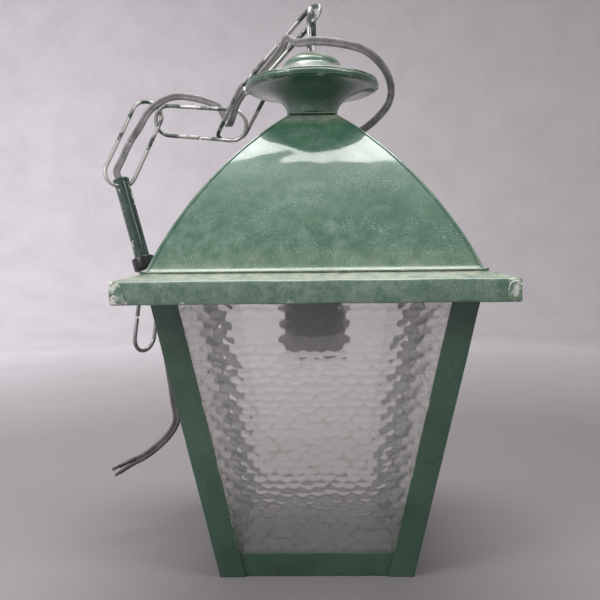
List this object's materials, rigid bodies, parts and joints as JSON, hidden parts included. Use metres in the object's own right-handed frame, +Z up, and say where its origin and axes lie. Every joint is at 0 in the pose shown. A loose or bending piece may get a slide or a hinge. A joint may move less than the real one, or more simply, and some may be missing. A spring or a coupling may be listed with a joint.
{
  "type": "hanging lantern",
  "caption": "Square hanging lantern of painted sheet metal with hammered glass, a domed roof and flared chimney, a lampholder, and its chain, stem and flex laid over the roof.",
  "frame": {"origin": "middle of the underside of the front bottom rail, on the surface the lantern stands on", "axes": "+Z up, +X to the right seen from the front, +Y to the back"},
  "size_m": [0.2723, 0.2218, 0.3727],
  "materials": {
    "green_paint": "dark green enamel, satin, worn at the edges",
    "roof_paint": "green enamel, satin, with fine pale speckle and chips",
    "hammered_glass": "hammered obscured glass",
    "steel": "zinc-plated, dull",
    "brass": "plain",
    "black_plastic": "black moulded resin",
    "porcelain": "glazed ceramic, off-white",
    "rubber": "matt",
    "flex_sheath": "grey translucent flexible sheath"
  },
  "bodies": {
    "lantern": {"bottom_rail_back": "green_paint", "bottom_rail_front": "green_paint", "bottom_rail_left": "green_paint", "bottom_rail_right": "green_paint", "centre_contact": "brass", "chimney_cover": "roof_paint", "chimney_trumpet": "green_paint", "contact_block": "porcelain", "eave": "roof_paint", "flex_grommet": "rubber", "flex_inside": "flex_sheath", "flex_over_roof": "flex_sheath", "glass_back": "hammered_glass", "glass_front": "hammered_glass", "glass_left": "hammered_glass", "glass_right": "hammered_glass", "glazing_tab_back_1": "green_paint", "glazing_tab_back_2": "green_paint", "glazing_tab_front_1": "green_paint", "glazing_tab_front_2": "green_paint", "glazing_tab_left_1": "green_paint", "glazing_tab_left_2": "green_paint", "glazing_tab_right_1": "green_paint", "glazing_tab_right_2": "green_paint", "hanger": "green_paint", "hanger_plate": "steel", "lampholder_body": "black_plastic", "lampholder_cap": "black_plastic", "lampholder_crossbar": "steel", "nipple_nut": "steel", "post_back_left": "green_paint", "post_back_right": "green_paint", "post_front_left": "green_paint", "post_front_right": "green_paint", "roof_panel_back": "roof_paint", "roof_panel_front": "roof_paint", "roof_panel_left": "roof_paint", "roof_panel_right": "roof_paint", "roof_top_plate": "roof_paint", "thread_shell": "brass", "threaded_nipple": "brass", "top_rail_back": "green_paint", "top_rail_front": "green_paint", "top_rail_left": "green_paint", "top_rail_right": "green_paint"},
    "link_1": {"chain_link_1": "green_paint", "flex_through_link_1": "flex_sheath"},
    "link_2": {"chain_link_2": "green_paint", "flex_along_link_2": "flex_sheath"},
    "link_3": {"chain_link_3": "green_paint", "flex_along_link_3": "flex_sheath"},
    "link_4": {"chain_link_4": "green_paint", "flex_through_link_4": "flex_sheath"},
    "stem": {"stem_tube": "green_paint", "flex_tail": "flex_sheath"},
    "collar": {"stem_collar": "black_plastic"},
    "ring": {"ceiling_ring": "steel"}
  },
  "joints": [
    {"name": "link_1_swing", "type": "hinge", "parent": "lantern", "child": "link_1", "pos_m": [0.0008, 0.0581, 0.3623], "axis": [0.148, 0.8412, -0.5201], "range_deg": [0, 12], "deforming": ["flex_over_roof", "flex_through_link_1"]},
    {"name": "link_2_swing", "type": "hinge", "parent": "link_1", "child": "link_2", "pos_m": [-0.0489, 0.0856, 0.3184], "axis": [-0.073, 0.7445, 0.6636], "range_deg": [-1, 12], "deforming": ["flex_along_link_2"]},
    {"name": "link_3_swing", "type": "hinge", "parent": "link_2", "child": "link_3", "pos_m": [-0.0749, 0.1342, 0.2952], "axis": [-0.078, 0.9258, -0.3699], "range_deg": [0, 10], "deforming": ["flex_along_link_3"]},
    {"name": "link_4_swing", "type": "hinge", "parent": "link_3", "child": "link_4", "pos_m": [-0.1254, 0.1438, 0.3045], "axis": [0.3669, 0.101, -0.9248], "range_deg": [-4, 4], "deforming": ["flex_through_link_4"]},
    {"name": "stem_swing", "type": "hinge", "parent": "link_4", "child": "stem", "pos_m": [-0.14743, 0.1175, 0.25386], "axis": [0.9065, 0.4036, 0.1242], "range_deg": [0, 14]},
    {"name": "collar_slide", "type": "slide", "parent": "stem", "child": "collar", "axis": [0.2807, -0.1621, -0.946], "range_m": [-0.045, 0.008]},
    {"name": "ring_swing", "type": "hinge", "parent": "stem", "child": "ring", "pos_m": [-0.12455, 0.1053, 0.17902], "axis": [-0.4649, -0.8829, 0.0653], "range_deg": [-30, 25]}
  ]
}
